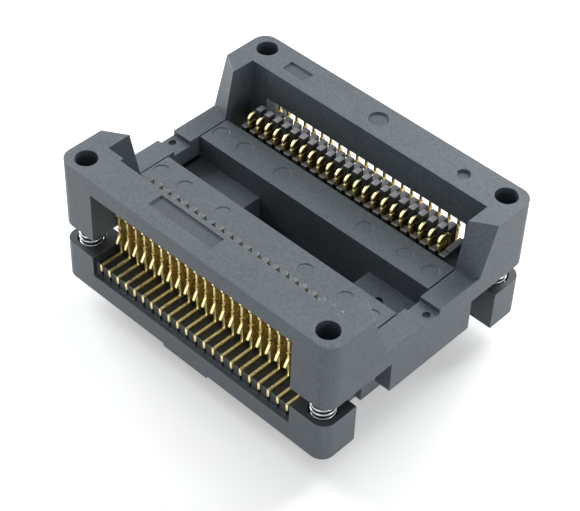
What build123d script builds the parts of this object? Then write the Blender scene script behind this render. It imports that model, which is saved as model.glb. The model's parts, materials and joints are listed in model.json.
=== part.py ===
from build123d import *
from math import cos, hypot, radians, sin
import os

# Open-top test socket for a small-outline chip with 22 leads a side.
# The origin is the centre of the underside that rests on the board. +Z is up.
# X runs along the contact rows, and the two rows are at the front (-Y) and the back (+Y).
# Profiles of a row are drawn as distance out from the centre plane, and height.

os.makedirs("parts", exist_ok=True)

# Contact rows
contacts_per_row = 22
pitch = 1.27
sheet = 0.30
slot_clearance = 0.06
running_gap = 0.06

# Heights of the base, each step above the one before
low_wall_top = 2.30
slot_mouth_drop = 0.90
tail_height = 0.85
tail_proud = 0.15
ear_rise = 0.98
platform_height = 4.92
recess_depth = 3.00

# Fixed part of a contact. The jaws' faces set how wide a chip the socket takes.
jaw_face = 6.90
jaw_leg_set_back = 0.30
jaw_leg_width = 0.70
jaw_head_width = 1.20
jaw_head_height = 0.75
lead_lift = 0.90
tail_overhang = 0.13
blade_reach = 4.90
blade_width = 1.30
blade_lean = 0.16
spur_root_drop = 1.00
spur_drop = 0.95
spur_reach = 0.48
spur_width = 0.13
pin_row_inner = 8.89
pin_row_spacing = 2.54
pin_width = 0.50
pin_length = 3.00
pin_taper = 0.35

# Swinging part of a contact
pivot_reach = 4.55
pivot_lift = 2.62
heel_radius = 0.28
cup_wall = 0.21
beam_height = 0.55
beam_lift = 0.05
blade_corner_lift = 0.12
blade_shoulder_lift = 0.90
neck_width = 0.22
neck_length = 2.45
lug_drop = 1.85
lug_radius = 0.30
head_lean = 0.38
head_lift = 3.75
head_radius = 0.38
arm_set_back = 1.40
arm_width = 0.45
lead_gap = 0.16
nose_flat = 0.40
finger_set_back = 0.85
finger_rise = 0.84
finger_drop = 0.60
nose_depth = 0.42
swing_angle = 16.0

# Rib combs between the contacts
rib_width = 0.75
rib_set_back = 0.78
rib_depth = 1.00
rib_heel_length = 2.50
rib_over_finger = 0.60
rib_heel_drop = 0.95
end_rib_drop = 2.40
rib_foot_drop = 0.90
comb_wall = 0.35
comb_wall_drop = 0.80

# Seat platform
seat_gap = 0.50
recess_half_width = 2.35
left_tab_length = 8.95
right_tab_length = 7.55
tab_pit_inset = 4.15
tab_pit_radius = 0.50
tab_pit_depth = 0.60
seat_core_width = 1.40
seat_core_roof = 1.50
seat_core_wall = 1.40
seat_fit = 0.05
seat_end_gap = 0.15
mark_radius = 0.95
mark_depth = 0.08
left_mark_insets = (1.15, 4.65, 10.25)
right_mark_insets = (1.45, 4.85, 10.25)

# Base housing
base_margin = 0.11
low_wall_thickness = 0.58
ear_depth = 4.54
ear_inset = 0.11
end_wall = 0.70
pedestal_step = 0.705
base_corner_radius = 1.50
well_floor = 1.60
slot_mouth = 0.50
pad_front_left = -3.60
pad_front_right = 2.70
pad_depth = 1.60
pad_height = 0.35

# Pin guide plate
plate_thickness = 0.80
plate_margin = 0.90
plate_fit = 0.10

# Cover frame
travel = 2.10
post_gap = 0.27
head_room = 0.55
cam_clearance = 0.10
cam_height = 1.82
bar_height = 2.08
bar_underside = 1.262
bar_depth = 4.60
front_bar_set_back = 0.45
cover_corner_radius = 1.60
window_margin = 0.45
rail_clearance = 0.40
rail_width = 2.55
rail_notch_front = -1.30
rail_notch_back = 1.00
rail_notch_depth = 0.60
rail_pit_radius = 0.45
rail_pit_depth = 0.35
rail_pit_inset = 0.85
shoulder_top_reach_outer = 1.32
shoulder_top_reach_inner = 2.92
shoulder_foot_reach_outer = 3.22
shoulder_foot_reach_inner = 4.12
tongue_front = -5.80
tongue_back = 6.20

# Catch ledges of the base, and the hooks of the cover's tongues that reach under them
catch_height = 0.66
catch_reach = 0.90
catch_half_length = 4.00
catch_gap = 0.12
tongue_clearance = 0.15
hook_height = 0.75
hook_engagement = 0.50
hook_half_length = 4.40

# Corner guides and springs
guide_inset_x = 2.22
guide_inset_y = 1.98
tool_hole_radius = 1.225
tool_hole_depth = 3.00
guide_post_radius = 0.96
guide_engagement = 2.55
guide_fit = 0.13
spring_wire = 0.30
spring_outer_radius = 1.35
spring_turns = 5.5
spring_end_gap = 0.02
spring_pocket_fit = 0.15
spring_pocket_depth = 1.88

# Shallow moulded panels and round marks in the cover's top, from its outer edges
front_panel_left = -7.30
front_panel_right = 1.50
front_panel_inset = 1.82
front_panel_width = 1.80
back_panel_end_inset = 5.65
back_panel_length = 3.20
back_panel_inset = 1.72
back_panel_width = 1.55
panel_depth = 0.22
round_mark_x = -0.20
round_mark_inset = 2.23
round_mark_radius = 1.15
small_mark_end_inset = 7.25
small_mark_inset = 2.51
small_mark_radius = 0.75
small_mark_depth = 0.30

# Heights that follow from the ones above
tail_floor = low_wall_top + slot_mouth_drop
tail_top = tail_floor + tail_height
comb_bed_top = tail_top - tail_proud
ear_top = comb_bed_top + ear_rise
seat_top = ear_top + platform_height
tab_top = seat_top - recess_depth
lead_seat = seat_top + lead_lift
nose_height = lead_seat + lead_gap
finger_top = nose_height + finger_rise
finger_shoulder = finger_top - finger_drop
rib_top = finger_top + rib_over_finger
pivot_height = ear_top + pivot_lift
head_height = pivot_height + head_lift
bar_inner_bottom = head_height + head_room
window_top = bar_inner_bottom + cam_height
cover_top = window_top + bar_height
post_bottom = ear_top + travel + post_gap
rail_top = seat_top
catch_bottom = ear_top - catch_height
tongue_bottom = catch_bottom - catch_gap - hook_height
guide_post_top = post_bottom + guide_engagement
spring_seat = ear_top - spring_pocket_depth

# Distances out from the centre plane that follow from the jaws' faces
seat_half_width = jaw_face - seat_gap
jaw_leg_inner = jaw_face + jaw_leg_set_back
arm_inner = jaw_face + arm_set_back
finger_crown = jaw_face + finger_set_back
rib_face = jaw_face + rib_set_back
pivot_out = jaw_face + pivot_reach
blade_foot = jaw_face + blade_reach
slot_width = sheet + 2 * slot_clearance
cup_radius = heel_radius + running_gap
cup_outer = cup_radius + cup_wall
swing = radians(swing_angle)

# Lengths along the rows that follow from the contacts' number and pitch
row_half = (contacts_per_row - 1) * pitch / 2
contact_places = [i * pitch - row_half for i in range(contacts_per_row)]
rib_places = [(a + b) / 2 for a, b in zip(contact_places, contact_places[1:])]
end_rib_place = row_half + pitch / 2
comb_half_length = end_rib_place + rib_width / 2
body_half_length = comb_half_length + seat_fit + end_wall
window_half = row_half + sheet / 2 + window_margin
ear_inner = window_half + running_gap * 2
pedestal_half_length = body_half_length + pedestal_step
rail_inner = pedestal_half_length + rail_clearance
seat_half_length = rail_inner - seat_end_gap
left_tab_end = left_tab_length - seat_half_length
right_tab_end = seat_half_length - right_tab_length
cover_half_length = rail_inner + rail_width
ear_outer = cover_half_length - ear_inset
catch_outer = pedestal_half_length + catch_reach
tongue_inner = catch_outer + tongue_clearance
hook_inner = catch_outer - hook_engagement


def row_plane(side, x=0.0):
    """A plane across a row at x: its first axis points out from the centre plane, its second up."""
    return Plane(origin=(x, 0, 0), x_dir=(0, side, 0), z_dir=(side, 0, 0))


def swung(out, height):
    """Where a point of the swinging part stands when the cover is pressed right down."""
    du = out - pivot_out
    dz = height - pivot_height
    return (pivot_out + du * cos(swing) + dz * sin(swing), pivot_height - du * sin(swing) + dz * cos(swing))


def blade_edge(height):
    """The outer edge of a contact's blade, which leans out a little towards the top."""
    return blade_foot + blade_lean * (height - tail_top) / (head_height - tail_top)


# The cam face runs alongside the path of the contact's head, seen from the moving cover.
head_rest = (pivot_out + head_lean, head_height)
head_pressed_out, head_pressed_height = swung(*head_rest)
path_out = head_pressed_out - head_rest[0]
path_up = head_pressed_height + travel - head_rest[1]
path_length = hypot(path_out, path_up)
cam_offset = head_radius + cam_clearance
cam_point = (head_rest[0] - cam_offset * path_up / path_length, head_rest[1] + cam_offset * path_out / path_length)
cam_start = cam_point[0] + (bar_inner_bottom - cam_point[1]) * path_out / path_up
cam_end = cam_point[0] + (window_top - cam_point[1]) * path_out / path_up

# Widths that follow from the cam
bar_inner = cam_start - bar_underside
cover_half_width = bar_inner + bar_depth
base_edge = cover_half_width + base_margin
comb_bed_edge = base_edge - low_wall_thickness
tail_end = comb_bed_edge + tail_overhang
guide_x = cover_half_length - guide_inset_x
guide_y = cover_half_width - guide_inset_y
guide_places = [(sx * guide_x, sy * guide_y) for sy in (-1, 1) for sx in (-1, 1)]


# Base housing: one moulding with corner ears, low walls, contact slots and guide posts
with BuildPart() as base_housing:
    with BuildSketch():
        Rectangle(2 * body_half_length, 2 * base_edge)
    extrude(amount=low_wall_top)
    with BuildSketch(Plane.XY.offset(low_wall_top)):
        Rectangle(2 * body_half_length, 2 * comb_bed_edge)
    extrude(amount=comb_bed_top - low_wall_top)
    ear_place_x = (ear_inner + ear_outer) / 2
    ear_place_y = base_edge - ear_depth / 2
    with BuildSketch():
        with GridLocations(2 * ear_place_x, 2 * ear_place_y, 2, 2):
            Rectangle(ear_outer - ear_inner, ear_depth)
    extrude(amount=ear_top)
    # End walls close the comb beds, and the pedestal between the rows carries the seat platform.
    with BuildSketch():
        with GridLocations(2 * body_half_length - end_wall, 0, 2, 1):
            Rectangle(end_wall, 2 * (base_edge - ear_depth))
        Rectangle(2 * pedestal_half_length, 2 * seat_half_width)
    extrude(amount=ear_top)
    # Catch ledges hold the cover's hooks down.
    with BuildSketch(Plane.XY.offset(catch_bottom)):
        with GridLocations(2 * pedestal_half_length + catch_reach, 0, 2, 1):
            Rectangle(catch_reach, 2 * catch_half_length)
    extrude(amount=catch_height)
    with BuildSketch():
        RectangleRounded(2 * ear_outer, 2 * base_edge, base_corner_radius)
    extrude(amount=ear_top, mode=Mode.INTERSECT)
    # Spring pockets with a guide post standing in each
    with BuildSketch(Plane.XY.offset(spring_seat)):
        with Locations(*guide_places):
            Circle(spring_outer_radius + spring_pocket_fit)
    extrude(amount=ear_top - spring_seat, mode=Mode.SUBTRACT)
    with BuildSketch(Plane.XY.offset(spring_seat)):
        with Locations(*guide_places):
            Circle(guide_post_radius)
    extrude(amount=guide_post_top - spring_seat)
    # Well under the seat platform's centre recess
    with BuildSketch(Plane.XY.offset(well_floor)):
        with Locations(((left_tab_end + right_tab_end) / 2, 0)):
            Rectangle(right_tab_end - left_tab_end, 2 * recess_half_width)
    extrude(amount=ear_top - well_floor, mode=Mode.SUBTRACT)
    # Slots for the contact tails, open at their outer ends
    slot_start = jaw_leg_inner - 2 * slot_clearance
    slot_length = comb_bed_edge - slot_start
    with BuildSketch(Plane.XY.offset(tail_floor)):
        for side in (-1, 1):
            with Locations((0, side * (slot_start + slot_length / 2))):
                with GridLocations(pitch, 0, contacts_per_row, 1):
                    Rectangle(slot_width, slot_length)
    extrude(amount=comb_bed_top - tail_floor, mode=Mode.SUBTRACT)
    # The slots run on down the comb bed's outer face.
    with BuildSketch(Plane.XY.offset(low_wall_top)):
        for side in (-1, 1):
            with Locations((0, side * (comb_bed_edge - slot_mouth / 2))):
                with GridLocations(pitch, 0, contacts_per_row, 1):
                    Rectangle(slot_width, slot_mouth)
    extrude(amount=tail_floor - low_wall_top, mode=Mode.SUBTRACT)
    # Holes for the terminal pins, in two staggered lines for each row
    with BuildSketch():
        for side in (-1, 1):
            for i, x in enumerate(contact_places):
                with Locations((x, side * (pin_row_inner + pin_row_spacing * (i % 2)))):
                    Rectangle(slot_width, pin_width + 2 * slot_clearance)
    extrude(amount=tail_floor, mode=Mode.SUBTRACT)
    # Recess for the pin guide plate
    plate_half_length = row_half + plate_margin
    plate_half_width = pin_row_inner + pin_row_spacing + plate_margin
    with BuildSketch():
        Rectangle(2 * (plate_half_length + plate_fit), 2 * (plate_half_width + plate_fit))
    extrude(amount=plate_thickness, mode=Mode.SUBTRACT)
    # Stand-off pads under the two long edges
    with BuildSketch():
        with Locations(((pad_front_left + pad_front_right) / 2, 0)):
            with GridLocations(0, 2 * base_edge - pad_depth, 1, 2):
                Rectangle(pad_front_right - pad_front_left, pad_depth)
    extrude(amount=-pad_height)
base_housing.part.label = "base_housing"
export_step(base_housing.part, "parts/base_housing.step")


# Pin guide plate: keeps the terminal pins in line with the board's holes
with BuildPart() as pin_guide_plate:
    with BuildSketch():
        Rectangle(2 * plate_half_length, 2 * plate_half_width)
        for side in (-1, 1):
            for i, x in enumerate(contact_places):
                with Locations((x, side * (pin_row_inner + pin_row_spacing * (i % 2)))):
                    Rectangle(slot_width, pin_width + 2 * slot_clearance, mode=Mode.SUBTRACT)
    extrude(amount=plate_thickness)
pin_guide_plate.part.label = "pin_guide_plate"
export_step(pin_guide_plate.part, "parts/pin_guide_plate.step")


# Seat platform: two ledges under the chip's body, with a recess between them
with BuildPart() as seat_platform:
    with BuildSketch(Plane.XY.offset(ear_top)):
        Rectangle(2 * seat_half_length, 2 * seat_half_width)
    extrude(amount=seat_top - ear_top)
    with BuildSketch(Plane.XY.offset(tab_top)):
        Rectangle(2 * seat_half_length, 2 * recess_half_width)
    extrude(amount=seat_top - tab_top, mode=Mode.SUBTRACT)
    with BuildSketch(Plane.XY.offset(ear_top)):
        with Locations(((left_tab_end + right_tab_end) / 2, 0)):
            Rectangle(right_tab_end - left_tab_end, 2 * recess_half_width)
    extrude(amount=tab_top - ear_top, mode=Mode.SUBTRACT)
    # The ledges are cored from below.
    with BuildSketch(Plane.XY.offset(ear_top)):
        with GridLocations(0, seat_half_width + recess_half_width, 1, 2):
            Rectangle(2 * (seat_half_length - seat_core_wall), seat_core_width)
    extrude(amount=seat_top - seat_core_roof - ear_top, mode=Mode.SUBTRACT)
    with BuildSketch(Plane.XY.offset(tab_top)):
        with Locations((seat_half_length - tab_pit_inset, 0)):
            Circle(tab_pit_radius)
    extrude(amount=-tab_pit_depth, mode=Mode.SUBTRACT)
    # Round marks of the mould's ejector pins
    mark_places = [inset - seat_half_length for inset in left_mark_insets]
    mark_places += [seat_half_length - inset for inset in right_mark_insets]
    with BuildSketch(Plane.XY.offset(seat_top)):
        for x in mark_places:
            with Locations((x, 0)):
                with GridLocations(0, seat_half_width + recess_half_width, 1, 2):
                    Circle(mark_radius)
    extrude(amount=-mark_depth, mode=Mode.SUBTRACT)
seat_platform.part.label = "seat_platform"
export_step(seat_platform.part, "parts/seat_platform.step")


# Rib combs: one rib stands between every two contacts, and a lower one beyond each end
comb_inner = seat_half_width + seat_fit
comb_wall_top = seat_top - comb_wall_drop
rib_foot_top = lead_seat - rib_foot_drop
rib_heel_top = rib_top - rib_heel_drop
rib_heel_out = rib_face + rib_heel_length
rib_outline = [
    (comb_inner, comb_bed_top),
    (comb_inner, comb_wall_top),
    (comb_inner + comb_wall, comb_wall_top),
    (comb_inner + comb_wall, rib_foot_top),
    (rib_face, rib_foot_top),
    (rib_face, rib_top),
    (rib_face + rib_depth, rib_top),
    (rib_face + rib_depth, rib_heel_top),
    (rib_heel_out, rib_heel_top),
    (rib_heel_out, comb_bed_top),
]
end_rib_outline = [(out, min(height, rib_top - end_rib_drop)) for out, height in rib_outline]
for name, side in (("front_rib_comb", -1), ("back_rib_comb", 1)):
    with BuildPart() as rib_comb:
        with BuildSketch(row_plane(side)):
            with Locations((comb_inner + comb_wall / 2, (comb_bed_top + comb_wall_top) / 2)):
                Rectangle(comb_wall, comb_wall_top - comb_bed_top)
        extrude(amount=comb_half_length, both=True)
        for x in rib_places:
            with BuildSketch(row_plane(side, x)):
                Polygon(*rib_outline, align=None)
            extrude(amount=rib_width / 2, both=True)
        for x in (-end_rib_place, end_rib_place):
            with BuildSketch(row_plane(side, x)):
                Polygon(*end_rib_outline, align=None)
            extrude(amount=rib_width / 2, both=True)
    rib_comb.part.label = name
    export_step(rib_comb.part, f"parts/{name}.step")


def fixed_contact(side, x, pin_out):
    """The still part of one contact: tail, terminal pin, lower jaw, blade foot, cup and spur."""
    blade_top = pivot_height - running_gap
    spur_length = hypot(spur_reach, spur_drop)
    across = (spur_width / 2 * spur_drop / spur_length, spur_width / 2 * spur_reach / spur_length)
    spur_root = (blade_edge(pivot_height) - across[0], pivot_height - spur_root_drop)
    spur_end = (spur_root[0] + spur_reach, spur_root[1] - spur_drop)
    with BuildPart() as contact:
        with BuildSketch(row_plane(side, x)):
            with Locations(((jaw_leg_inner + tail_end) / 2, tail_floor + tail_height / 2)):
                Rectangle(tail_end - jaw_leg_inner, tail_height)
            with Locations((jaw_leg_inner + jaw_leg_width / 2, (tail_floor + lead_seat) / 2)):
                Rectangle(jaw_leg_width, lead_seat - tail_floor)
            with Locations((jaw_face + jaw_head_width / 2, lead_seat - jaw_head_height / 2)):
                Rectangle(jaw_head_width, jaw_head_height)
            Polygon(
                (pin_out - pin_width / 2, tail_top),
                (pin_out + pin_width / 2, tail_top),
                (pin_out + pin_width / 2, -pin_length + pin_width),
                (pin_out + pin_width / 2 - pin_taper / 2, -pin_length),
                (pin_out - pin_width / 2 + pin_taper / 2, -pin_length),
                (pin_out - pin_width / 2, -pin_length + pin_width),
                align=None,
            )
            Polygon(
                (blade_edge(tail_floor) - blade_width, tail_floor),
                (blade_edge(tail_floor), tail_floor),
                (blade_edge(blade_top), blade_top),
                (blade_edge(blade_top) - blade_width, blade_top),
                align=None,
            )
            # A half-round cup holds the heel of the swinging part.
            with Locations((pivot_out, pivot_height)):
                Circle(cup_outer)
            with Locations((pivot_out, blade_top + cup_outer)):
                Rectangle(2 * cup_outer, 2 * cup_outer, mode=Mode.SUBTRACT)
            with Locations((pivot_out, pivot_height)):
                Circle(cup_radius, mode=Mode.SUBTRACT)
            Polygon(
                (spur_root[0] - across[0], spur_root[1] - across[1]),
                (spur_root[0] + across[0], spur_root[1] + across[1]),
                (spur_end[0] + across[0], spur_end[1] + across[1]),
                (spur_end[0] - across[0], spur_end[1] - across[1]),
                align=None,
            )
        extrude(amount=sheet / 2, both=True)
    return contact.part


def swinging_contact(side, x):
    """The moving part of one contact: heel, blade and head for the cam, beam, arm and finger."""
    beam_bottom = pivot_height + beam_lift
    beam_top = beam_bottom + beam_height
    arm_outer = arm_inner + arm_width
    corner = pivot_height + blade_corner_lift
    shoulder = pivot_height + blade_shoulder_lift
    neck_bottom = head_height - neck_length
    lug_height = head_height - lug_drop
    with BuildPart() as contact:
        with BuildSketch(row_plane(side, x)):
            with Locations((pivot_out, pivot_height)):
                Circle(heel_radius)
            Polygon(
                (arm_inner, beam_bottom),
                (pivot_out, beam_bottom),
                (pivot_out, beam_top),
                (arm_outer, beam_top),
                (arm_outer, finger_shoulder),
                (arm_inner, finger_shoulder),
                align=None,
            )
            Polygon(
                (blade_edge(pivot_height) - blade_width, pivot_height),
                (pivot_out, pivot_height),
                (blade_edge(corner), corner),
                (blade_edge(neck_bottom), neck_bottom),
                (head_rest[0] + neck_width / 2, head_height),
                (head_rest[0] - neck_width / 2, head_height),
                (blade_edge(neck_bottom) - neck_width, neck_bottom),
                (blade_edge(shoulder) - blade_width, shoulder),
                align=None,
            )
            with Locations(head_rest):
                Circle(head_radius)
            # A round lug halfway up the neck
            with Locations((blade_edge(lug_height) - neck_width / 2, lug_height)):
                Circle(lug_radius)
            with BuildLine():
                crown = (finger_crown, finger_top)
                nose = (jaw_face, nose_height + nose_flat)
                TangentArc(crown, (arm_outer, finger_shoulder), tangent=(1, 0))
                TangentArc(crown, nose, tangent=(-1, 0))
                Line(nose, (jaw_face, nose_height))
                Line((jaw_face, nose_height), (jaw_face + nose_depth, nose_height))
                Line((jaw_face + nose_depth, nose_height), (arm_inner, finger_shoulder))
                Line((arm_inner, finger_shoulder), (arm_outer, finger_shoulder))
            make_face()
        extrude(amount=sheet / 2, both=True)
    return contact.part


# Contacts: the still parts are grouped by pin line, and each swinging part is its own piece
for row, side in (("front", -1), ("back", 1)):
    for line, first in (("inner", 0), ("outer", 1)):
        pin_out = pin_row_inner + pin_row_spacing * first
        group = Compound(
            label=f"{row}_terminals_{line}",
            children=[fixed_contact(side, x, pin_out) for x in contact_places[first::2]],
        )
        export_step(group, f"parts/{row}_terminals_{line}.step")
    for number, x in enumerate(contact_places, start=1):
        arm = swinging_contact(side, x)
        arm.label = f"{row}_contact_arm_{number:02d}"
        export_step(arm, f"parts/{arm.label}.step")


# Cover frame: one moulding, pressed down against four springs
with BuildPart() as cover_frame:
    for side, bar_face in ((-1, bar_inner + front_bar_set_back), (1, bar_inner)):
        with BuildSketch(row_plane(side)):
            Polygon(
                (bar_face, bar_inner_bottom),
                (bar_face, cover_top),
                (cover_half_width, cover_top),
                (cover_half_width, window_top),
                (cam_end, window_top),
                (cam_start, bar_inner_bottom),
                align=None,
            )
        extrude(amount=cover_half_length, both=True)
    post_place_x = (window_half + cover_half_length) / 2
    with BuildSketch(Plane.XY.offset(post_bottom)):
        with GridLocations(2 * post_place_x, 2 * (cover_half_width - bar_depth / 2), 2, 2):
            Rectangle(cover_half_length - window_half, bar_depth)
    extrude(amount=cover_top - post_bottom)
    with BuildSketch(Plane.XY.offset(post_bottom)):
        with GridLocations(rail_inner + cover_half_length, 0, 2, 1):
            Rectangle(cover_half_length - rail_inner, 2 * cover_half_width)
    extrude(amount=rail_top - post_bottom)
    # Sloping shoulders lead the chip in between the posts.
    for sx in (-1, 1):
        for sy in (-1, 1):
            for height, outer, inner in (
                (rail_top, shoulder_foot_reach_outer, shoulder_foot_reach_inner),
                (cover_top, shoulder_top_reach_outer, shoulder_top_reach_inner),
            ):
                with BuildSketch(Plane.XY.offset(height)):
                    Polygon(
                        (sx * cover_half_length, sy * (bar_inner + bar_depth / 2)),
                        (sx * cover_half_length, sy * (bar_inner - outer)),
                        (sx * rail_inner, sy * (bar_inner - inner)),
                        (sx * rail_inner, sy * (bar_inner + bar_depth / 2)),
                        align=None,
                    )
            loft(ruled=True)
    # Tongues hang from the rails, with hooks that reach under the base's catch ledges.
    tongue_place = (tongue_front + tongue_back) / 2
    with BuildSketch(Plane.XY.offset(tongue_bottom)):
        with Locations((0, tongue_place)):
            with GridLocations(cover_half_length + tongue_inner, 0, 2, 1):
                Rectangle(cover_half_length - tongue_inner, tongue_back - tongue_front)
    extrude(amount=rail_top - tongue_bottom)
    with BuildSketch(Plane.XY.offset(tongue_bottom)):
        with GridLocations(tongue_inner + hook_inner, 0, 2, 1):
            Rectangle(tongue_inner - hook_inner, 2 * hook_half_length)
    extrude(amount=hook_height)
    with BuildSketch(Plane.XY.offset(tongue_bottom)):
        RectangleRounded(2 * cover_half_length, 2 * cover_half_width, cover_corner_radius)
    extrude(amount=cover_top - tongue_bottom, mode=Mode.INTERSECT)
    # Shallow notch and round pit in each rail
    with BuildSketch(Plane.XY.offset(rail_top)):
        with Locations((0, (rail_notch_front + rail_notch_back) / 2)):
            Rectangle(2 * cover_half_length, rail_notch_back - rail_notch_front)
    extrude(amount=-rail_notch_depth, mode=Mode.SUBTRACT)
    with BuildSketch(Plane.XY.offset(rail_top - rail_notch_depth)):
        with GridLocations(2 * (cover_half_length - rail_pit_inset), 0, 2, 1):
            Circle(rail_pit_radius)
    extrude(amount=-rail_pit_depth, mode=Mode.SUBTRACT)
    # Tool holes in the top, and below them the bores for the guide posts
    with BuildSketch(Plane.XY.offset(cover_top)):
        with Locations(*guide_places):
            Circle(tool_hole_radius)
    extrude(amount=-tool_hole_depth, mode=Mode.SUBTRACT)
    with BuildSketch(Plane.XY.offset(post_bottom)):
        with Locations(*guide_places):
            Circle(guide_post_radius + guide_fit)
    extrude(amount=cover_top - post_bottom, mode=Mode.SUBTRACT)
    # Bare panels and round marks in the top
    front_panel_y = front_panel_inset + front_panel_width / 2 - cover_half_width
    back_panel_x = back_panel_end_inset + back_panel_length / 2 - cover_half_length
    with BuildSketch(Plane.XY.offset(cover_top)):
        with Locations(((front_panel_left + front_panel_right) / 2, front_panel_y)):
            Rectangle(front_panel_right - front_panel_left, front_panel_width)
        with Locations((back_panel_x, cover_half_width - back_panel_inset - back_panel_width / 2)):
            Rectangle(back_panel_length, back_panel_width)
        with Locations((round_mark_x, cover_half_width - round_mark_inset)):
            Circle(round_mark_radius)
    extrude(amount=-panel_depth, mode=Mode.SUBTRACT)
    with BuildSketch(Plane.XY.offset(cover_top)):
        with Locations((cover_half_length - small_mark_end_inset, cover_half_width - small_mark_inset)):
            Circle(small_mark_radius)
    extrude(amount=-small_mark_depth, mode=Mode.SUBTRACT)
cover_frame.part.label = "cover_frame"
export_step(cover_frame.part, "parts/cover_frame.step")


# Coil springs, each round a guide post, between the pocket's floor and the cover's post
spring_rise = post_bottom - spring_seat - spring_wire - 2 * spring_end_gap
for name, place in zip(("front_left", "front_right", "back_left", "back_right"), guide_places):
    with BuildPart() as spring:
        with BuildLine() as coil:
            Helix(
                pitch=spring_rise / spring_turns,
                height=spring_rise,
                radius=spring_outer_radius - spring_wire / 2,
                center=(*place, spring_seat + spring_wire / 2 + spring_end_gap),
            )
        with BuildSketch(coil.line ^ 0):
            Circle(spring_wire / 2)
        sweep(is_frenet=True)
    spring.part.label = f"{name}_spring"
    export_step(spring.part, f"parts/{name}_spring.step")
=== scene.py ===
"""Looks of an open-top chip test socket: a sprung cover frame over two rows of gold contacts.

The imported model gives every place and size. +X runs along the contact rows, the front row is at -Y,
and +Z is up. All lengths are in metres.
"""

import json
import math

import bmesh
import bpy
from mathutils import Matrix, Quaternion, Vector


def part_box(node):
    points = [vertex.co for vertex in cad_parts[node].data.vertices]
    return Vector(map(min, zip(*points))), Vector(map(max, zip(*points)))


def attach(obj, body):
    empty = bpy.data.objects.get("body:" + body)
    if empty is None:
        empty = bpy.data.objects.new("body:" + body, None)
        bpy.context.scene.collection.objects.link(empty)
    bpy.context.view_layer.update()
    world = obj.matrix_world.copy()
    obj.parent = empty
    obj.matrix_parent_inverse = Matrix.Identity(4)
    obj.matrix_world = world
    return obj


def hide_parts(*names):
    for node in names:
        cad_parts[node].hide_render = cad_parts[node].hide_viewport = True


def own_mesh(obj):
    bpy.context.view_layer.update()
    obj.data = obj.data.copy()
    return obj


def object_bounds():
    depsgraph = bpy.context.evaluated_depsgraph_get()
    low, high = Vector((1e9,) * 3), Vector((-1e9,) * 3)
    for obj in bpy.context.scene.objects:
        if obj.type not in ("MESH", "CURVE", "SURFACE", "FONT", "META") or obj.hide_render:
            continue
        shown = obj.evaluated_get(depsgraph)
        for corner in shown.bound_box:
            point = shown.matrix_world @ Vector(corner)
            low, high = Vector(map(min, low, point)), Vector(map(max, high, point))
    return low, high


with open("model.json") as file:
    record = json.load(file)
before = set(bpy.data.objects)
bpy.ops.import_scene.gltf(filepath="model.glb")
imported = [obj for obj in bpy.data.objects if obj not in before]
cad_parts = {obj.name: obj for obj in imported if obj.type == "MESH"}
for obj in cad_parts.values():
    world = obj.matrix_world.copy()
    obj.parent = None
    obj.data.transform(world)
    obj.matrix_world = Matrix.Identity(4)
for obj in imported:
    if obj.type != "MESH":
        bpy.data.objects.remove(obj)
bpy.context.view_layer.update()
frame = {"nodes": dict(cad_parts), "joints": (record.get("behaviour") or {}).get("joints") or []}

MM = 0.001
ROWS = ("front", "back")
CORNERS = ("front_left", "front_right", "back_left", "back_right")

# Camera, as the photograph was taken
CAMERA_AZIMUTH = 42.17
CAMERA_ELEVATION = 44.28
CAMERA_ROLL = 2.37
CAMERA_DISTANCE = 170.90 * MM
CAMERA_TARGET = Vector((2.09, -2.59, 8.00)) * MM
CAMERA_LENS = 104.9
SENSOR_WIDTH = 36.0
CAMERA_NEAR = 5 * MM
CAMERA_FAR = 10.0

# Colours, linear
PLASTIC_COLOUR = (0.092, 0.115, 0.134)
PLASTIC_DARK = (0.040, 0.052, 0.064)
# Paler plastic for the fibre specks, and for the rounded edges, where it is rub and also a painted
# highlight
PLASTIC_EDGE = (0.150, 0.175, 0.195)
# Near black: the combs' colour, painted as the shade between the contacts, and the painted shade of beds,
# spring cups and panel floors. The rib tops' paler grey is a little rub and mostly painted light.
PAINTED_SHADE_BLACK = (0.012, 0.015, 0.018)
RIB_TOP_RUB_AND_PAINTED_LIGHT = (0.360, 0.370, 0.385)
GOLD_AMBER = (1.00, 0.70, 0.20)
GOLD_BROWN = (0.42, 0.25, 0.05)
GOLD_PALE = (1.00, 0.93, 0.48)
STEEL_COLOUR = (0.56, 0.58, 0.60)
STEEL_DULL = (0.34, 0.36, 0.39)
FLOOR_COLOUR = (0.86, 0.87, 0.88)
WHITE = (1.0, 1.0, 1.0)

# Sizes of what shows in the surfaces
CLOUD_SIZE = 4.0 * MM
MOTTLE_SIZE = 0.30 * MM
GRAIN_SIZE = 0.16 * MM
GRAIN_DEPTH = 0.040 * MM
FIBRE_SPACING = 0.42 * MM
FIBRE_PATCH_SIZE = 1.1 * MM
EDGE_RUB_SIZE = 1.4 * MM
RIB_WEAR_SIZE = 0.35 * MM
RIB_GRAIN_SIZE = 0.14 * MM
RIB_GRAIN_DEPTH = 0.03 * MM
STAIN_SIZE = 0.45 * MM
STREAK_SIZE = 0.12 * MM
STREAK_DEPTH = 0.02 * MM
DRAW_MARK_SIZE = 0.10 * MM
DRAW_MARK_DEPTH = 0.01 * MM
DULL_PATCH_SIZE = 0.8 * MM
PLASTIC_IOR = 1.52

# Rounding of moulded and stamped edges
MOULD_EDGE = 0.12 * MM
FINE_MOULD_EDGE = 0.05 * MM
STAMPED_EDGE = 0.035 * MM
EDGE_STEPS = 2
SHARP_ANGLE = math.radians(28)
COPLANAR_ANGLE = math.radians(0.4)
WELD_DISTANCE = 0.0015 * MM

# Where shade is painted onto the mouldings: the contacts' beds, the spring cups and the panel floors
BED_HALF_LENGTH = 14.10 * MM
BED_INNER_EDGE = 11.00 * MM
BED_LOWEST = 2.36 * MM
CUP_RADIUS = 3.60 * MM
CUP_LOWEST = 3.00 * MM
PANEL_SHALLOWEST = 0.14 * MM
PANEL_DEEPEST = 0.30 * MM

# Distance from the middle at which the fingers, painted browner as shade, turn into the amber strips
FINGER_END = 8.80 * MM
STRIP_START = 10.20 * MM

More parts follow.
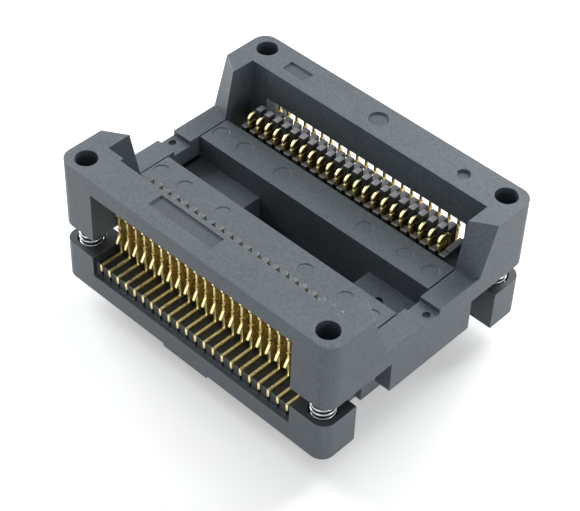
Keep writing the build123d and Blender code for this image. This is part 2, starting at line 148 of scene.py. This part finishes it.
# Coil springs, with dead turns at both ends whose wire nearly touches
SPRING_WIRE_RADIUS = 0.15 * MM
SPRING_TURNS = 5.5
SPRING_DEAD_TURNS = 0.9
DEAD_TURN_RISE = 2.05 * SPRING_WIRE_RADIUS
SPRING_WIRE_STEPS = 10
SPRING_TURN_STEPS = 36

# Floor and light: each lamp's name, place, width and power
FLOOR_HALF_WIDTH = 1.2
FLOOR_GAP = 0.01 * MM
FLOOR_GLOW = 0.36
TENT_LIGHT = 0.22
LAMPS = (
    ("behind", Vector((0.0, 0.328, 0.229)), 0.24, 1.62),
    ("left", Vector((-0.346, 0.0, 0.200)), 0.26, 1.50),
    ("low_right", Vector((0.391, 0.0, 0.083)), 0.24, 0.52),
    ("low_front", Vector((0.0, -0.391, 0.083)), 0.24, 0.20),
)


class Wire:
    """One output of a shader node, with the operators that the materials use."""

    def __init__(self, graph, socket):
        self.graph = graph
        self.socket = socket

    def maths(self, operation, *terms, clamp=False):
        settings = {"operation": operation, "use_clamp": clamp}
        return self.graph.node("ShaderNodeMath", settings, [*terms])["Value"]

    def __add__(self, other):
        return self.maths("ADD", self, other)

    def __sub__(self, other):
        return self.maths("SUBTRACT", self, other)

    def __rsub__(self, other):
        return self.maths("SUBTRACT", other, self)

    def __mul__(self, other):
        return self.maths("MULTIPLY", self, other)

    def __gt__(self, other):
        return self.maths("GREATER_THAN", self, other)

    def size(self):
        return self.maths("ABSOLUTE", self)

    def clamped(self):
        return self.maths("ADD", self, 0.0, clamp=True)

    def ramp(self, low, high):
        """0 below low, 1 above high, and smooth between."""
        settings = {"interpolation_type": "SMOOTHSTEP"}
        sockets = {"Value": self, "From Min": low, "From Max": high}
        return self.graph.node("ShaderNodeMapRange", settings, sockets)["Result"]

    __radd__ = __add__
    __rmul__ = __mul__


class Outputs:
    """A node's outputs, by name or number."""

    def __init__(self, graph, node):
        self.graph = graph
        self.node = node

    def __getitem__(self, key):
        return Wire(self.graph, self.node.outputs[key])


class Graph:
    """The nodes of one material or of the world."""

    def __init__(self, owner):
        owner.use_nodes = True
        self.tree = owner.node_tree
        self.tree.nodes.clear()

    def node(self, kind, settings=None, sockets=None):
        """Adds a node: its settings come first, and then the values or links of its sockets."""
        made = self.tree.nodes.new(kind)
        for name, value in (settings or {}).items():
            setattr(made, name, value)
        pairs = sockets.items() if isinstance(sockets, dict) else enumerate(sockets or [])
        for key, value in pairs:
            if isinstance(value, Wire):
                self.tree.links.new(value.socket, made.inputs[key])
            elif isinstance(value, tuple) and made.inputs[key].type == "RGBA":
                made.inputs[key].default_value = (*value, 1.0)
            else:
                made.inputs[key].default_value = value
        return Outputs(self, made)

    def place(self):
        return self.node("ShaderNodeTexCoord")["Object"]

    def split(self, vector):
        """A vector's parts, by the axes' names."""
        return self.node("ShaderNodeSeparateXYZ", {}, [vector])

    def facing(self, axis):
        """The share of the surface's direction along one axis."""
        return self.split(self.node("ShaderNodeNewGeometry")["Normal"])[axis]

    def looked_at(self):
        """1 where the camera or a mirroring or clear surface looks, and 0 for light that spreads."""
        path = self.node("ShaderNodeLightPath")
        return (path["Is Camera Ray"] + path["Is Glossy Ray"] + path["Is Transmission Ray"]).clamped()

    def noise(self, place, size, detail=2.0, roughness=0.5):
        """Noise whose blobs are about size across, from 0 to 1."""
        sockets = {"Vector": place, "Scale": 1.0 / size, "Detail": detail, "Roughness": roughness}
        return self.node("ShaderNodeTexNoise", {}, sockets)["Fac"]

    def specks(self, place, size):
        """Distance to the nearest of many scattered points, in cells."""
        return self.node("ShaderNodeTexVoronoi", {}, {"Vector": place, "Scale": 1.0 / size})["Distance"]

    def blend(self, share, first, second):
        """A colour between two colours."""
        sockets = {0: share, 6: first, 7: second}
        return self.node("ShaderNodeMix", {"data_type": "RGBA"}, sockets)[2]

    def bump(self, height, strength, distance):
        sockets = {"Height": height, "Strength": strength, "Distance": distance}
        return self.node("ShaderNodeBump", {}, sockets)["Normal"]

    def finish(self, shader, kind="ShaderNodeOutputMaterial"):
        self.node(kind, {}, {"Surface": shader})


def new_material(name):
    material = bpy.data.materials.new(name)
    return material, Graph(material)


def painted_shade_in_beds_and_cups(graph, place):
    """Painted shade: the slotted beds that the contacts' tails lie in, and the flat tops of the cups around
    the springs, under the cover's posts.
    """
    parts = graph.split(place)
    along = parts["X"].size()
    out = parts["Y"].size()
    bed = (parts["Z"] > BED_LOWEST) * (out > BED_INNER_EDGE) * (1 - (along > BED_HALF_LENGTH))
    low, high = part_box("front_left_spring")
    cup_x = abs(low.x + high.x) / 2
    cup_y = abs(low.y + high.y) / 2
    offset = graph.node("ShaderNodeCombineXYZ", {}, [along - cup_x, out - cup_y])[0]
    reach = graph.node("ShaderNodeVectorMath", {"operation": "LENGTH"}, [offset])["Value"]
    cup = (1 - reach.ramp(0.8 * CUP_RADIUS, CUP_RADIUS)) * (parts["Z"] > CUP_LOWEST)
    flat = graph.facing("Z").ramp(0.8, 0.95)
    # Painted shade: share of near black in the beds and on the cup tops
    return (bed * 0.9 + cup * flat * 0.75).clamped()


def painted_shade_on_panel_floors(graph, place):
    """Painted shade on the floors of the recessed label panels in the cover's top."""
    height = graph.split(place)["Z"]
    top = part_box("cover_frame")[1].z
    sunk = (height > top - PANEL_DEEPEST) * (1 - (height > top - PANEL_SHALLOWEST))
    # Painted shade: share of near black on the sunk, upward-facing panel floors
    return sunk * graph.facing("Z").ramp(0.8, 0.95) * 0.45


def moulded_plastic(name, painted_shade_part):
    """Glass-filled moulding: bluish charcoal with a fine grain and paler fibre specks, painted near black
    as shade where the given part says.
    """
    material, graph = new_material(name)
    place = graph.place()
    cloud = graph.noise(place, CLOUD_SIZE, detail=3.0)
    mottle = graph.noise(place, MOTTLE_SIZE, detail=2.0).ramp(0.32, 0.68)
    grain = graph.noise(place, GRAIN_SIZE, detail=3.0, roughness=0.65)
    speck = 1 - graph.specks(place, FIBRE_SPACING).ramp(0.10, 0.24)
    fibre_patch = graph.noise(place, FIBRE_PATCH_SIZE).ramp(0.52, 0.70)
    paler = (cloud * 0.45 + mottle * 0.40 + grain.ramp(0.3, 0.7) * 0.30).clamped()
    tone = graph.blend(paler, PLASTIC_DARK, PLASTIC_COLOUR)
    tone = graph.blend(speck * fibre_patch * 0.30, tone, PLASTIC_EDGE)
    # Painted shade: blend towards near black where the given part lies in shade
    tone = graph.blend(painted_shade_part(graph, place), tone, PAINTED_SHADE_BLACK)
    shader = graph.node("ShaderNodeBsdfPrincipled", {}, {
        "Base Color": tone,
        "Roughness": (grain * 0.16 + cloud * 0.08 + 0.36).clamped(),
        "IOR": PLASTIC_IOR,
        "Normal": graph.bump(grain + mottle * 0.25 + speck * 0.2, 0.45, GRAIN_DEPTH),
    })["BSDF"]
    graph.finish(shader)
    return material


def moulded_edge(name):
    """The same plastic on a rounded edge, rubbed a little paler and painted lighter as an edge highlight.
    """
    material, graph = new_material(name)
    place = graph.place()
    rub = graph.noise(place, EDGE_RUB_SIZE, detail=4.0, roughness=0.6).ramp(0.35, 0.70)
    tone = graph.blend(rub * 0.8, PLASTIC_COLOUR, PLASTIC_EDGE)
    shader = graph.node("ShaderNodeBsdfPrincipled", {}, {
        "Base Color": tone,
        "Roughness": (0.42 - rub * 0.10).clamped(),
        "IOR": PLASTIC_IOR,
    })["BSDF"]
    graph.finish(shader)
    return material


def comb_plastic(name):
    """Moulding between the contacts, painted nearly black as the shade there, whose flat rib tops are
    painted paler grey as light falling on them, much more in the back row, with a little random rub.
    """
    material, graph = new_material(name)
    place = graph.place()
    up = graph.facing("Z").ramp(0.80, 0.97)
    back = graph.split(place)["Y"] > 0.0
    wear = graph.noise(place, RIB_WEAR_SIZE, detail=3.0).ramp(0.25, 0.75)
    grain = graph.noise(place, RIB_GRAIN_SIZE, detail=2.0)
    shader = graph.node("ShaderNodeBsdfPrincipled", {}, {
        # Painted light on the rib tops, strongest in the back row, over a little random rub
        "Base Color": graph.blend(up * (wear * 0.20 + back * 0.65 + 0.15), PAINTED_SHADE_BLACK, RIB_TOP_RUB_AND_PAINTED_LIGHT),
        "Roughness": (grain * 0.20 + 0.42).clamped(),
        "IOR": PLASTIC_IOR,
        "Normal": graph.bump(grain, 0.25, RIB_GRAIN_DEPTH),
    })["BSDF"]
    graph.finish(shader)
    return material


def gold_plate(name):
    """Gold plating on stampings: sheared edges painted pale and more mirror-like as their highlight, amber
    flats with random brown stains, and the fingers' flats painted brown as shade.
    """
    material, graph = new_material(name)
    place = graph.place()
    # Painted highlight: faces that don't face along the rows, the sheared edges, are paler and more
    # mirror-like
    edge = 1 - graph.facing("X").size().ramp(0.25, 0.75)
    stain = graph.noise(place, STAIN_SIZE, detail=3.0).ramp(0.38, 0.62)
    streak = graph.noise(place, STREAK_SIZE, detail=2.0)
    # Painted shade: the fingers nearer the middle are browner and more metallic
    finger_shade = 1 - graph.split(place)["Y"].size().ramp(FINGER_END, STRIP_START)
    flat = graph.blend((stain + finger_shade).clamped(), GOLD_AMBER, GOLD_BROWN)
    shader = graph.node("ShaderNodeBsdfPrincipled", {}, {
        "Base Color": graph.blend(edge, flat, GOLD_PALE),
        "Metallic": (edge * 0.40 + finger_shade * 0.40 + 0.50).clamped(),
        "Roughness": (stain * 0.12 + streak * 0.12 + 0.20).clamped(),
        "Normal": graph.bump(streak + stain * 0.4, 0.14, STREAK_DEPTH),
    })["BSDF"]
    graph.finish(shader)
    return material


def spring_wire(name):
    """Drawn steel wire with fine marks and duller patches."""
    material, graph = new_material(name)
    place = graph.place()
    draw_mark = graph.noise(place, DRAW_MARK_SIZE, detail=2.0)
    dull = graph.noise(place, DULL_PATCH_SIZE)
    shader = graph.node("ShaderNodeBsdfPrincipled", {}, {
        "Base Color": graph.blend(dull.ramp(0.3, 0.7), STEEL_COLOUR, STEEL_DULL),
        "Metallic": 1.0,
        "Roughness": (draw_mark * 0.12 + 0.16).clamped(),
        "Normal": graph.bump(draw_mark, 0.08, DRAW_MARK_DEPTH),
    })["BSDF"]
    graph.finish(shader)
    return material


def welded_copy(node, name):
    """A copy of a CAD node's mesh with its triangles joined into flat faces."""
    mesh = frame["nodes"][node].data.copy()
    mesh.name = name
    work = bmesh.new()
    work.from_mesh(mesh)
    bmesh.ops.remove_doubles(work, verts=work.verts, dist=WELD_DISTANCE)
    bmesh.ops.dissolve_limit(work, angle_limit=COPLANAR_ANGLE, verts=work.verts, edges=work.edges)
    for face in work.faces:
        face.smooth = True
    work.to_mesh(mesh)
    work.free()
    mesh.materials.clear()
    piece = bpy.data.objects.new(name, mesh)
    bpy.context.collection.objects.link(piece)
    return piece


def settled(piece):
    """Turns a piece's modifiers into its plain mesh."""
    bpy.context.view_layer.update()
    evaluated = piece.evaluated_get(bpy.context.evaluated_depsgraph_get())
    mesh = bpy.data.meshes.new_from_object(evaluated)
    mesh.name = piece.name
    piece.modifiers.clear()
    piece.data = mesh


def rounded(piece, width, edge_material=-1):
    """Rounds every sharp edge and evens the shading of the flat faces."""
    bevel = piece.modifiers.new("rounding", "BEVEL")
    bevel.width = width
    bevel.segments = EDGE_STEPS
    bevel.limit_method = "ANGLE"
    bevel.angle_limit = SHARP_ANGLE
    bevel.use_clamp_overlap = True
    bevel.material = edge_material
    even = piece.modifiers.new("even shading", "WEIGHTED_NORMAL")
    even.mode = "FACE_AREA"
    even.weight = 100
    even.keep_sharp = True
    settled(piece)


def give(piece, body, slot, *nodes):
    """Puts a piece on the body it rides on and hides the CAD nodes it stands for. The slot argument is not
    used.
    """
    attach(piece, body)
    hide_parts(*nodes)


def moulding(node, body, slot, surface, edge, width):
    """A moulded piece: the CAD node's shape with rounded edges."""
    piece = welded_copy(node, f"{node}_moulding")
    piece.data.materials.append(surface)
    piece.data.materials.append(edge)
    rounded(piece, width, edge_material=1)
    give(piece, body, slot, node)


def row_tree(material):
    """Geometry nodes that repeat one stamping along +X."""
    tree = bpy.data.node_groups.new("contact_row", "GeometryNodeTree")
    face = tree.interface
    face.new_socket("Stamping", in_out="INPUT", socket_type="NodeSocketGeometry")
    count = face.new_socket("Count", in_out="INPUT", socket_type="NodeSocketInt")
    pitch = face.new_socket("Pitch", in_out="INPUT", socket_type="NodeSocketFloat")
    face.new_socket("Row", in_out="OUTPUT", socket_type="NodeSocketGeometry")

    def add(kind, **links):
        made = tree.nodes.new(kind)
        for name, source in links.items():
            tree.links.new(source, made.inputs[name.replace("_", " ")])
        return made

    given = add("NodeGroupInput")
    step = add("ShaderNodeCombineXYZ", X=given.outputs["Pitch"])
    line = add("GeometryNodeMeshLine", Count=given.outputs["Count"], Offset=step.outputs[0])
    copies = add("GeometryNodeInstanceOnPoints", Points=line.outputs[0], Instance=given.outputs["Stamping"])
    real = add("GeometryNodeRealizeInstances", Geometry=copies.outputs[0])
    finish = add("GeometryNodeSetMaterial", Geometry=real.outputs[0])
    finish.inputs["Material"].default_value = material
    add("NodeGroupOutput", Row=finish.outputs[0])
    return tree, count.identifier, pitch.identifier


def first_solid(piece):
    """Keeps only the solid that lies furthest to the left."""
    work = bmesh.new()
    work.from_mesh(piece.data)
    start = min(work.verts, key=lambda v: v.co.x)
    kept = {start}
    unvisited = [start]
    while unvisited:
        vert = unvisited.pop()
        for edge in vert.link_edges:
            other = edge.other_vert(vert)
            if other not in kept:
                kept.add(other)
                unvisited.append(other)
    bmesh.ops.delete(work, geom=[v for v in work.verts if v not in kept], context="VERTS")
    work.to_mesh(piece.data)
    work.free()


def stamped_row(name, tree, first_node, nodes, count, pitch, body):
    """One row of equal stampings, made from its leftmost one."""
    row_group, count_socket, pitch_socket = tree
    piece = welded_copy(first_node, name)
    first_solid(piece)
    rounded(piece, STAMPED_EDGE)
    row = piece.modifiers.new("row", "NODES")
    row.node_group = row_group
    row[count_socket] = count
    row[pitch_socket] = pitch
    settled(piece)
    give(piece, body, "contact_gold", *nodes)


def middle_x(node):
    low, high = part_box(node)
    return (low.x + high.x) / 2


def contact_rows(gold):
    """Both rows: the swinging arms, and the still terminals in two staggered lines."""
    tree = row_tree(gold)
    for row in ROWS:
        arms = sorted(name for name in frame["nodes"] if name.startswith(f"{row}_contact_arm_"))
        pitch = middle_x(arms[1]) - middle_x(arms[0])
        stamped_row(f"{row}_contact_arms", tree, arms[0], arms, len(arms), pitch, f"{row}_arms")
        for line in ("inner", "outer"):
            node = f"{row}_terminals_{line}"
            stamped_row(f"{node}_row", tree, node, [node], len(arms) // 2, 2 * pitch, "base")


def coil_spring(node, wire_material):
    """A coil spring with closed end turns."""
    low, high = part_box(node)
    centre = (low + high) / 2
    height = high.z - low.z
    radius = (high.x - low.x) / 2 - SPRING_WIRE_RADIUS
    turns = SPRING_TURNS + 2 * SPRING_DEAD_TURNS
    steps = round(turns * SPRING_TURN_STEPS)
    start = Vector((centre.x, centre.y, low.z + SPRING_WIRE_RADIUS))
    rise = height - 2 * SPRING_WIRE_RADIUS
    dead_rise = DEAD_TURN_RISE * SPRING_DEAD_TURNS
    line = []
    for i in range(steps + 1):
        turn = turns * i / steps
        if turn < SPRING_DEAD_TURNS:
            up = dead_rise * turn / SPRING_DEAD_TURNS
        elif turn > turns - SPRING_DEAD_TURNS:
            up = rise - dead_rise * (turns - turn) / SPRING_DEAD_TURNS
        else:
            up = dead_rise + (rise - 2 * dead_rise) * (turn - SPRING_DEAD_TURNS) / SPRING_TURNS
        angle = 2 * math.pi * turn
        line.append(start + Vector((radius * math.cos(angle), radius * math.sin(angle), up)))
    piece = tube(f"{node}_coil", line, SPRING_WIRE_RADIUS)
    piece.data.materials.append(wire_material)
    give(piece, "base", "spring_steel", node)
    press = next(joint for joint in frame["joints"] if joint["name"] == "cover_press")
    travel = max(abs(end) for end in press["range_m"])
    1 - travel / height
    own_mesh(piece)


def tube(name, line, radius):
    """A closed round tube along a line of points."""
    mesh = bpy.data.meshes.new(name)
    work = bmesh.new()
    rings = []
    for i, point in enumerate(line):
        along = (line[min(i + 1, len(line) - 1)] - line[max(i - 1, 0)]).normalized()
        side = along.cross(Vector((0, 0, 1))).normalized()
        up = side.cross(along)
        ring = []
        for k in range(SPRING_WIRE_STEPS):
            angle = 2 * math.pi * k / SPRING_WIRE_STEPS
            ring.append(work.verts.new(point + radius * (math.cos(angle) * side + math.sin(angle) * up)))
        rings.append(ring)
    for near, far in zip(rings, rings[1:]):
        for k in range(SPRING_WIRE_STEPS):
            n = (k + 1) % SPRING_WIRE_STEPS
            work.faces.new((near[k], near[n], far[n], far[k]))
    work.faces.new(reversed(rings[0]))
    work.faces.new(rings[-1])
    bmesh.ops.recalc_face_normals(work, faces=work.faces)
    for face in work.faces:
        face.smooth = len(face.verts) == 4
    work.to_mesh(mesh)
    work.free()
    piece = bpy.data.objects.new(name, mesh)
    bpy.context.collection.objects.link(piece)
    return piece


def stage_floor():
    """A wide pale floor at the height of the pins' tips."""
    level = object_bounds()[0].z - FLOOR_GAP
    mesh = bpy.data.meshes.new("floor")
    signs = ((-1, -1), (1, -1), (1, 1), (-1, 1))
    corners = [(x * FLOOR_HALF_WIDTH, y * FLOOR_HALF_WIDTH, level) for x, y in signs]
    mesh.from_pydata(corners, [], [(0, 1, 2, 3)])
    floor = bpy.data.objects.new("floor", mesh)
    bpy.context.collection.objects.link(floor)
    material, graph = new_material("pale_floor")
    strength = graph.looked_at() * FLOOR_GLOW
    glow = graph.node("ShaderNodeEmission", {}, {"Color": WHITE, "Strength": strength})["Emission"]
    matt = graph.node("ShaderNodeBsdfDiffuse", {}, {"Color": FLOOR_COLOUR})["BSDF"]
    graph.finish(graph.node("ShaderNodeAddShader", {}, [glow, matt])[0])
    mesh.materials.append(material)


def stage_light():
    """A white tent with large soft lamps: two high ones behind and on the left, two low ones opposite."""
    world = bpy.data.worlds.new("tent")
    bpy.context.scene.world = world
    graph = Graph(world)
    strength = graph.looked_at() * (1 - TENT_LIGHT) + TENT_LIGHT
    graph.finish(graph.node("ShaderNodeBackground", {}, {"Color": WHITE, "Strength": strength})[0],
                 "ShaderNodeOutputWorld")
    for name, place, width, power in LAMPS:
        data = bpy.data.lights.new(name, "AREA")
        data.shape = "DISK"
        data.size = width
        data.energy = power
        lamp = bpy.data.objects.new(name, data)
        lamp.location = place
        lamp.rotation_euler = place.to_track_quat("Z", "Y").to_euler()
        bpy.context.collection.objects.link(lamp)


def camera():
    """The camera, looking down at the front right corner."""
    azimuth = math.radians(CAMERA_AZIMUTH)
    elevation = math.radians(CAMERA_ELEVATION)
    level = math.cos(elevation)
    back = Vector((math.sin(azimuth) * level, -math.cos(azimuth) * level, math.sin(elevation)))
    data = bpy.data.cameras.new("camera")
    data.lens = CAMERA_LENS
    data.sensor_width = SENSOR_WIDTH
    data.clip_start = CAMERA_NEAR
    data.clip_end = CAMERA_FAR
    eye = bpy.data.objects.new("camera", data)
    eye.location = CAMERA_TARGET + back * CAMERA_DISTANCE
    eye.rotation_mode = "QUATERNION"
    roll = Quaternion((0, 0, 1), math.radians(CAMERA_ROLL))
    eye.rotation_quaternion = (-back).to_track_quat("-Z", "Y") @ roll
    bpy.context.collection.objects.link(eye)
    bpy.context.scene.camera = eye


camera()
stage_light()
stage_floor()

base_surface = moulded_plastic("base_plastic_surface", painted_shade_in_beds_and_cups)
cover_surface = moulded_plastic("cover_plastic_surface", painted_shade_on_panel_floors)
worn_and_highlit_edge = moulded_edge("rubbed_and_highlit_plastic_edge")
comb_surface = comb_plastic("comb_plastic_surface")
gold = gold_plate("gold_contact_plating")
steel = spring_wire("bright_spring_wire")

moulding("cover_frame", "cover", "cover_plastic", cover_surface, worn_and_highlit_edge, MOULD_EDGE)
for still_piece in ("base_housing", "seat_platform", "pin_guide_plate"):
    moulding(still_piece, "base", "base_plastic", base_surface, worn_and_highlit_edge, FINE_MOULD_EDGE)
for row in ROWS:
    moulding(f"{row}_rib_comb", "base", "base_plastic", comb_surface, comb_surface, FINE_MOULD_EDGE)
contact_rows(gold)
for corner in CORNERS:
    coil_spring(f"{corner}_spring", steel)

bpy.context.scene.view_settings.view_transform = "Standard"
